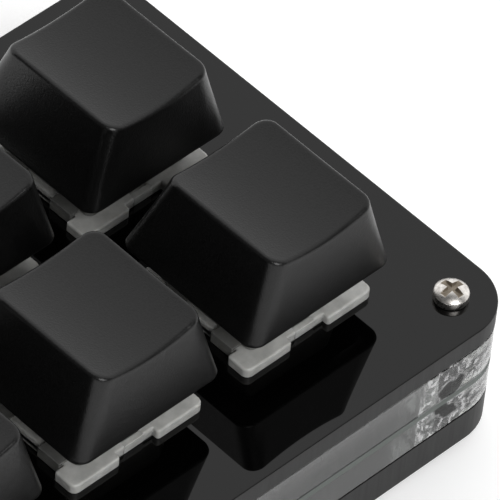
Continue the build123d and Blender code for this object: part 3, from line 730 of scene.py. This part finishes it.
# a keycap as one grid from the ceiling of its cross slot to the middle of its dish: slot, post, roof,
# inner wall, skirt edge, outer wall that narrows as it climbs, rounded rim and dished top
def capRings():
    angle = cornerAngles(cap["around"])
    base, dish, edge, roof, post, postBase = picked(cap, "base dish edge roof post postBase")
    height = (cap["backHeight"] + cap["frontHeight"]) / 2
    inset = (cap["backInset"] + cap["frontInset"]) / 2
    lean = (cap["frontInset"] - cap["backInset"]) / 2
    middle = np.array([0, lean])
    slope = (cap["backHeight"] - cap["frontHeight"]) / (2 * (base - inset))
    ball = ((base - cap["sideInset"]) ** 2 + dish**2) / (2 * dish)

    # box at a share of the height, shrunk by margin
    def level(share, margin=0.0, corner=cap["corner"]):
        boxX, boxY = base - cap["sideInset"] * share - margin, base - inset * share - margin
        reach = roundedPolar(angle, boxX, boxY, corner)
        return np.stack([reach * np.cos(angle), lean * share + reach * np.sin(angle)], -1)

    def inner(share, margin=0.0):
        return level(share, cap["wall"] + margin, cap["innerCorner"])

    def upright(flat, z):
        return np.concatenate([flat, np.broadcast_to(z, (len(angle), 1))], -1)

    # the dish is part of a cylinder that lies front to back, on a plane that drops towards the front
    def dished(flat):
        x, y = flat[:, :1], flat[:, 1:]
        return upright(flat, height + slope * (y - lean) + ball - dish - np.sqrt(ball**2 - x**2))

    cross = crossPolar(angle, cap["slotLength"], cap["slotWidth"])
    lip, fillet = cap["postEdge"], cap["postFillet"]
    rings = [flatRing(angle, reach, z) for reach, z in (
        (cross * cap["slotMiddle"], cap["slotTop"]), (cross, cap["slotTop"]),
        (cross, postBase + cap["slotBevel"]), (cross + cap["slotMouth"], postBase), (post - lip, postBase),
        (post, postBase + lip), (post, roof - fillet), (post + fillet, roof))]
    rings += [upright(inner(roof / height, margin), roof - drop) for margin, drop in cap["roofBend"]]
    rings += [upright(inner(share), share * height) for share in cap["innerShares"]]
    rings.append(upright(inner(0, -cap["innerLip"]), 0))
    bend = cap["skirtEdge"] * quarterRound(cap["skirtSteps"])
    rings += [upright(level(0, inward), rise) for inward, rise in bend]

    # the outer wall climbs to where it meets the dish, found by stepping there a few times
    share = np.ones(len(angle))
    for _ in range(cap["meetSteps"]):
        rim = dished(level(share))
        share = rim[:, 2] / height
    flat, skirt = rim[:, :2], rings[-1]
    wallTop = rim + (skirt - rim) * edge / np.linalg.norm(rim - skirt, axis=1, keepdims=True)
    rings += [skirt + (wallTop - skirt) * share for share in cap["wallShares"]]
    dishEdge = flat + (middle - flat) * edge / np.linalg.norm(flat - middle, axis=1, keepdims=True)
    for t in np.linspace(0, 1, cap["edgeSteps"]):  # the rim: a curve pulled towards the sharp edge
        rings.append((1 - t) ** 2 * wallTop + 2 * t * (1 - t) * rim + t**2 * dished(dishEdge))
    rings += [dished(middle + share * (dishEdge - middle)) for share in cap["dishShares"]]
    return np.stack(rings)


capPoints, capFaces = ringShell(capRings())
for key, (x, y) in keyPlaces.items():
    shells = [(capPoints + (x, y, nodeBox("keycap_" + key)[0][2]), capFaces)]
    addPiece("cap_" + key, shells, "cap_plastic", ["keycap_" + key], body="key_" + key)
print("keycaps built")

flange = {"x": 8.15, "y": 7.8, "thickness": 1.1, "corner": 0.7, "outerBend": 0.3, "innerBend": 0.1,
          "recess": 5.1, "notch": 2.35, "face": 7.08, "slot": 6.08, "windowIn": 1.12, "window": 6.88,
          "windowTop": 0.5, "windowRim": 0.03, "rim": 5.5, "edge": 0.2, "seamEdge": 0.02, "footEdge": 0.05,
          "bridge": 1.05, "bridgeBack": 6.48, "bridgeLap": 0.15, "bridgeProud": 0.02, "bridgeLift": 0.02,
          "bridgeSink": 0.04, "bridgeCorner": 0.12, "bridgeEdge": 0.06}
housing = {"body": 6.95, "bodyCorner": 0.5, "cavity": 5.95, "cavityCorner": 0.4, "wallFoot": 0.4,
           "wallSink": 0.5, "drop": 5.0, "floor": 1.0, "edge": 0.1, "holeCorner": 0.12,
           "pinHole": (0.5, 0.25), "pins": ((2.54, 5.08), (-3.81, 2.54)), "lightHole": (1.5, 0.8),
           "light": (0, -5.08), "post": 2.0, "postLength": 3.3, "postTaper": 0.4, "postSink": 0.2,
           "postMiddle": 0.6, "bore": 1.08, "boreEnd": 0.7, "boreRoom": 0.3, "tube": 1.6, "tubeHeight": 2.5}
flangeTop, boardTop = plateTop + flange["thickness"], plateTop - housing["drop"]


# outline of the flange, half of it listed and turned for the other half: corners, the recess for the
# latches in the side and the clip notch, whose middle part goes in to another depth
def flangeLoop(middle, depth, floor):
    x, y, recess, notch = picked(flange, "x y recess notch")
    corner, bend, small = picked(flange, "corner outerBend innerBend")
    body = housing["body"]
    side = [(x, -y, corner), (x, -recess, bend), (body, -recess, small), (body, recess, small),
            (x, recess, bend), (x, y, corner)]
    turn = bend if depth < floor else small
    clip = [(notch, y, bend), (notch, floor, small), (middle, floor, turn), (middle, depth, small)]
    half = np.array(side + clip + [(-cx, cy, r) for cx, cy, r in clip[::-1]])
    whole = np.vstack([half, half * (-1, -1, 1)])
    return roundedLoop(whole[:, :2], whole[:, 2], steps=3)


# a square opening with rounded corners
def squareHole(half):
    return roundedLoop(boxCorners((0, 0), half, half, True), housing["cavityCorner"], steps=4)


# flange in two sheets, the lower one with the clip windows
def flangeSheets():
    opening, middle = squareHole(flange["rim"]), plateTop + flange["windowTop"]
    seam, face = flange["seamEdge"], flange["face"]
    upper = flangeLoop(flange["bridge"], flange["slot"], face)
    lower = flangeLoop(flange["windowIn"], face - flange["windowRim"], flange["window"])
    return [sheetShell([upper, opening], middle, flangeTop, (seam, flange["edge"])),
            sheetShell([lower, opening], plateTop, middle, (flange["footEdge"], seam))]


# a small block that bridges each clip notch
def bridgeBlocks():
    face, back = flange["face"], flange["bridgeBack"]
    halfWidth, halfDepth = flange["bridge"] + flange["bridgeLap"], (face - back) / 2 + flange["bridgeProud"]
    loops = [roundedLoop(boxCorners((0, way * (face + back) / 2), halfWidth, halfDepth),
                         flange["bridgeCorner"], steps=3) for way in (1, -1)]
    bottom, top = plateTop + flange["bridgeLift"], flangeTop - flange["bridgeSink"]
    return [sheetShell([loop], bottom, top, flange["bridgeEdge"]) for loop in loops]


# lower housing: flange, box walls that run up inside it, floor with its holes, centre post, guide tube
# and the bridges
def housingShells():
    floorTop, edge = boardTop + housing["floor"], housing["edge"]
    body = roundedLoop(boxCorners((0, 0), housing["body"], housing["body"]), housing["bodyCorner"], steps=4)
    walls = sheetShell([body, squareHole(housing["cavity"])], floorTop - housing["wallFoot"],
                       flangeTop - housing["wallSink"], edge)
    places = [(pin, housing["pinHole"]) for pin in housing["pins"]]
    places.append((housing["light"], housing["lightHole"]))
    holes = [roundHole((0, 0), housing["bore"] + housing["boreRoom"])]
    holes += [roundedLoop(boxCorners(place, *half, True), housing["holeCorner"], steps=2)
              for place, half in places]
    floor = sheetShell([body] + holes, boardTop, floorTop, edge)
    bore, tube, post, taper = picked(housing, "bore tube post postTaper")
    end, tubeTop = boardTop - housing["postLength"], floorTop + housing["tubeHeight"]
    step = boardTop + housing["postSink"]
    profile = [(bore, end + housing["boreEnd"]), (bore, tubeTop), (tube, tubeTop), (tube, step), (post, step),
               (post, end + taper), (post - taper, end), (housing["postMiddle"], end)]
    return flangeSheets() + [walls, floor, turnedShell(profile)] + bridgeBlocks()


hood = {"base": 6.3, "topX": 5.4, "topY": 5.8, "height": 5.5, "wall": 1.0, "corner": 0.8, "edge": 0.4,
        "edgeSteps": 5, "foot": 0.1, "slotX": 3.75, "slotY": 3.1, "slotCorner": 0.15, "slotBevel": 0.18,
        "bevelCorner": 0.3, "lip": 0.25, "lipCorner": 0.35, "legLow": 2.1, "legHigh": 5.0, "legIn": 7.0,
        "legOut": 7.45, "legGap": 0.05, "legRise": 0.2, "legCorner": 0.1, "legEdge": 0.06, "legFoot": 0.25,
        "footIn": 0.6, "footEdge": 0.08, "around": 160}


# upper housing: a hood that narrows as it climbs, open at the top for the stem, with four latch legs
def hoodShells():
    angle = cornerAngles(hood["around"])
    base, top, edge, wall, foot, bevel = picked(hood, "base height edge wall foot slotBevel")

    def ring(x, y, corner, z):
        return flatRing(angle, roundedPolar(angle, x, y, corner), flangeTop + z)

    def outer(z, margin=0.0):
        x, y = (base + (reach - base) * z / top - margin for reach in picked(hood, "topX topY"))
        return ring(x, y, hood["corner"], z)

    def slot(margin, corner, z):
        return ring(hood["slotX"] + margin, hood["slotY"] + margin, hood[corner], z)

    rings = [outer(0, foot), outer(foot), outer(2 * foot), outer(top / 2), outer(top - edge - hold),
             outer(top - edge)]
    crown = outer(top)
    drop, shrink = outer(top - edge) - crown, outer(top, edge) - crown
    rings += [crown + drop * below + shrink * inward for below, inward in quarterRound(hood["edgeSteps"])[1:]]
    rings += [slot(hood["lip"], "lipCorner", top), slot(bevel, "bevelCorner", top),
              slot(0, "slotCorner", top - bevel), slot(0, "slotCorner", top - wall)]
    rings += [outer(top - wall, wall), outer(top / 2, wall), outer(0, wall)]
    shells = [ringShell(np.stack(rings), wrap=True)]
    low, high, out = picked(hood, "legLow legHigh legOut")
    blocks = [(hood["legIn"], plateTop + hood["legGap"], flangeTop + hood["legRise"], hood["legEdge"]),
              (base - hood["footIn"], flangeTop, flangeTop + hood["legFoot"], hood["footEdge"])]
    for x, y in ((1, 1), (1, -1), (-1, 1), (-1, -1)):
        for start, bottom, end, blockEdge in blocks:
            centre = (x * (start + out) / 2, y * (low + high) / 2)
            block = boxCorners(centre, (out - start) / 2, (high - low) / 2)
            loop = roundedLoop(block, hood["legCorner"], steps=3)
            shells.append(sheetShell([loop], bottom, end, blockEdge))
    return shells


moved = lambda shells, x, y: [(points + (x, y, 0), faces) for points, faces in shells]
lowerShells, upperShells = housingShells(), hoodShells()
for key, (x, y) in keyPlaces.items():
    addPiece("housing_" + key, moved(lowerShells, x, y), "housing_plastic", ["switch_base_" + key])
    addPiece("hood_" + key, moved(upperShells, x, y), "hood_plastic", ["switch_top_" + key])
print("switch housings built")

spring = {"radius": 2.1, "wire": 0.15, "turns": 10, "closed": 0.9, "closedRise": 2.2, "gap": 0.05,
          "stepsPerTurn": 36, "around": 10}


# return spring: a circle of wire carried round a helix whose first and last turns lie flat
def springRings(low, high):
    radius, wire, turns, closed = picked(spring, "radius wire turns closed")
    turn = np.linspace(0, turns, turns * spring["stepsPerTurn"] + 1)
    flat = closed * spring["closedRise"] * wire  # rise of the closed part at each end
    rise = np.interp(turn, [0, closed, turns - closed, turns], [low, low + flat, high - flat, high])
    angle = fullTurn * turn
    line = np.stack([radius * np.cos(angle), radius * np.sin(angle), rise], -1)
    out = np.stack([np.cos(angle), np.sin(angle), np.zeros_like(angle)], -1)
    along = np.gradient(line, axis=0)
    along /= np.linalg.norm(along, axis=1, keepdims=True)
    up = np.cross(along, out)
    circle = np.linspace(0, fullTurn, spring["around"], endpoint=False)[None, :, None]
    return line[:, None] + wire * (np.cos(circle) * out[:, None] + np.sin(circle) * up[:, None])


for key, (x, y) in keyPlaces.items():
    low, high = nodeBox("spring_" + key)
    rings = springRings(low[2] + spring["wire"], high[2] - spring["wire"]) + (x, y, 0)
    coil = addPiece("coil_" + key, [ringShell(rings)], "spring_steel", ["spring_" + key])
    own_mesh(coil)
print("springs built")

socket = {"halfX": 4.47, "halfZ": 1.63, "corner": 1.3, "wall": 0.3, "lip": 0.1, "lipShare": 0.3,
          "backIn": 0.8, "around": 128}


# socket shell: a rounded box carried back from its mouth, closed behind, with a rounded lip
def socketRings(low, high):
    angle = cornerAngles(socket["around"])
    wall, lip, middle, mouth, back = socket["wall"], socket["lip"], (low[2] + high[2]) / 2, high[1], low[1]
    near = lip * socket["lipShare"]

    def ring(margin, y):
        reach = roundedPolar(angle, *(size - margin for size in picked(socket, "halfX halfZ corner")))
        return np.stack([reach * np.cos(angle), np.full_like(angle, y), middle + reach * np.sin(angle)], -1)

    path = [(wall, back + wall), (wall, mouth - lip), (wall - near, mouth - near), (wall - lip, mouth),
            (lip, mouth), (near, mouth - near), (0, mouth - lip), (0, back + lip), (near, back + near),
            (lip, back), (socket["backIn"], back)]
    return np.stack([ring(margin, y) for margin, y in path])


shell = ringShell(socketRings(*nodeBox("usb_shell")))
addPiece("socket_shell", [shell], "socket_steel", ["usb_shell"])
print("socket built")

paper = {"half": 2.5, "colours": (grey(0.95), grey(0.97)), "grain": (300, 3), "roughness": 0.85,
         "uneven": 0.1, "specular": 0.1, "glow": (grey(0.15), grey(0.5)), "glowWay": (0.7, -0.7, 0),
         "glowRange": (-0.08, 0.08)}

# pale floor, a square sheet of paper whose far side glows more
mesh = bpy.data.meshes.new("floor")
corners = boxCorners((0, 0), paper["half"], paper["half"])
mesh.from_pydata([(*corner, 0) for corner in corners], [], [(0, 1, 2, 3)])
values = {"Specular IOR Level": paper["specular"], "Emission Strength": 1.0}
finish, place, shader = newFinish("floorPaper", values)
grain = noise(place, *paper["grain"])
mixed(grain, *paper["colours"]).into(shader, "Base Color")
(paper["roughness"] + swing(grain, paper["uneven"])).into(shader, "Roughness")
far = span(alongWay(place, paper["glowWay"]), *paper["glowRange"])
mixed(far, *paper["glow"]).into(shader, "Emission Color")
mesh.materials.append(finish)
floor = addObject("floor", mesh)

room = {"far": (-0.75, -0.66, 0.0), "bright": 1.1, "dim": 0.12, "turn": (-0.06, 0.26)}

# a bright wall on the far side and a dim room on the near side
world = bpy.data.worlds.new("studio")
world.use_nodes = True
facing = alongWay(Wire(world.node_tree).node("ShaderNodeTexCoord", output="Generated"), room["far"])
glow = facing.node("ShaderNodeMapRange", {"interpolation_type": "SMOOTHSTEP"}, {
    "Value": facing, "From Min": room["turn"][0], "From Max": room["turn"][1],
    "To Min": room["dim"], "To Max": room["bright"]})
background = world.node_tree.nodes["Background"]
background.inputs["Color"].default_value = grey(1.0)
glow.into(background, "Strength")
bpy.context.scene.world = world
bpy.context.scene.view_settings.view_transform = "Standard"

panel = {"spot": (0.3, 1.0, 0.9), "size": 0.9, "power": 13.0}

# one large soft panel that points at the middle of the floor
light = bpy.data.lights.new("panelCamera", "AREA")
light.shape, light.size, light.energy = "DISK", panel["size"], panel["power"]
turn = Vector(panel["spot"]).to_track_quat("Z", "Y").to_matrix().to_4x4()
addObject("panelCamera", light).matrix_world = Matrix.Translation(panel["spot"]) @ turn

view = {"aside": (-3.4, -3.798), "distance": 657.15, "azimuth": 131.815, "elevation": 47.227, "roll": 5.996,
        "lens": 503.634, "sensor": 36.0}

# camera: looks at a point on the plate beside the corner key
azimuth, elevation, roll = (math.radians(value) for value in picked(view, "azimuth elevation roll"))
away = np.array([math.sin(azimuth), -math.cos(azimuth), 0])
back = math.cos(elevation) * away + (0, 0, math.sin(elevation))
level = np.array([math.cos(azimuth), math.sin(azimuth), 0])
right = math.cos(roll) * level + math.sin(roll) * np.cross(back, level)
aim = np.append(keyPlaces["back_left"] + view["aside"], plateTop)
matrix = np.eye(4)
matrix[:3, :] = np.stack([right, np.cross(back, right), back, (aim + view["distance"] * back) * mm], -1)
lens = bpy.data.cameras.new("camera")
lens.lens, lens.sensor_width, lens.sensor_fit = view["lens"], view["sensor"], "AUTO"
camera = addObject("camera", lens)
camera.matrix_world = Matrix(matrix.tolist())
bpy.context.scene.camera = camera
print("stage, lights and camera set")
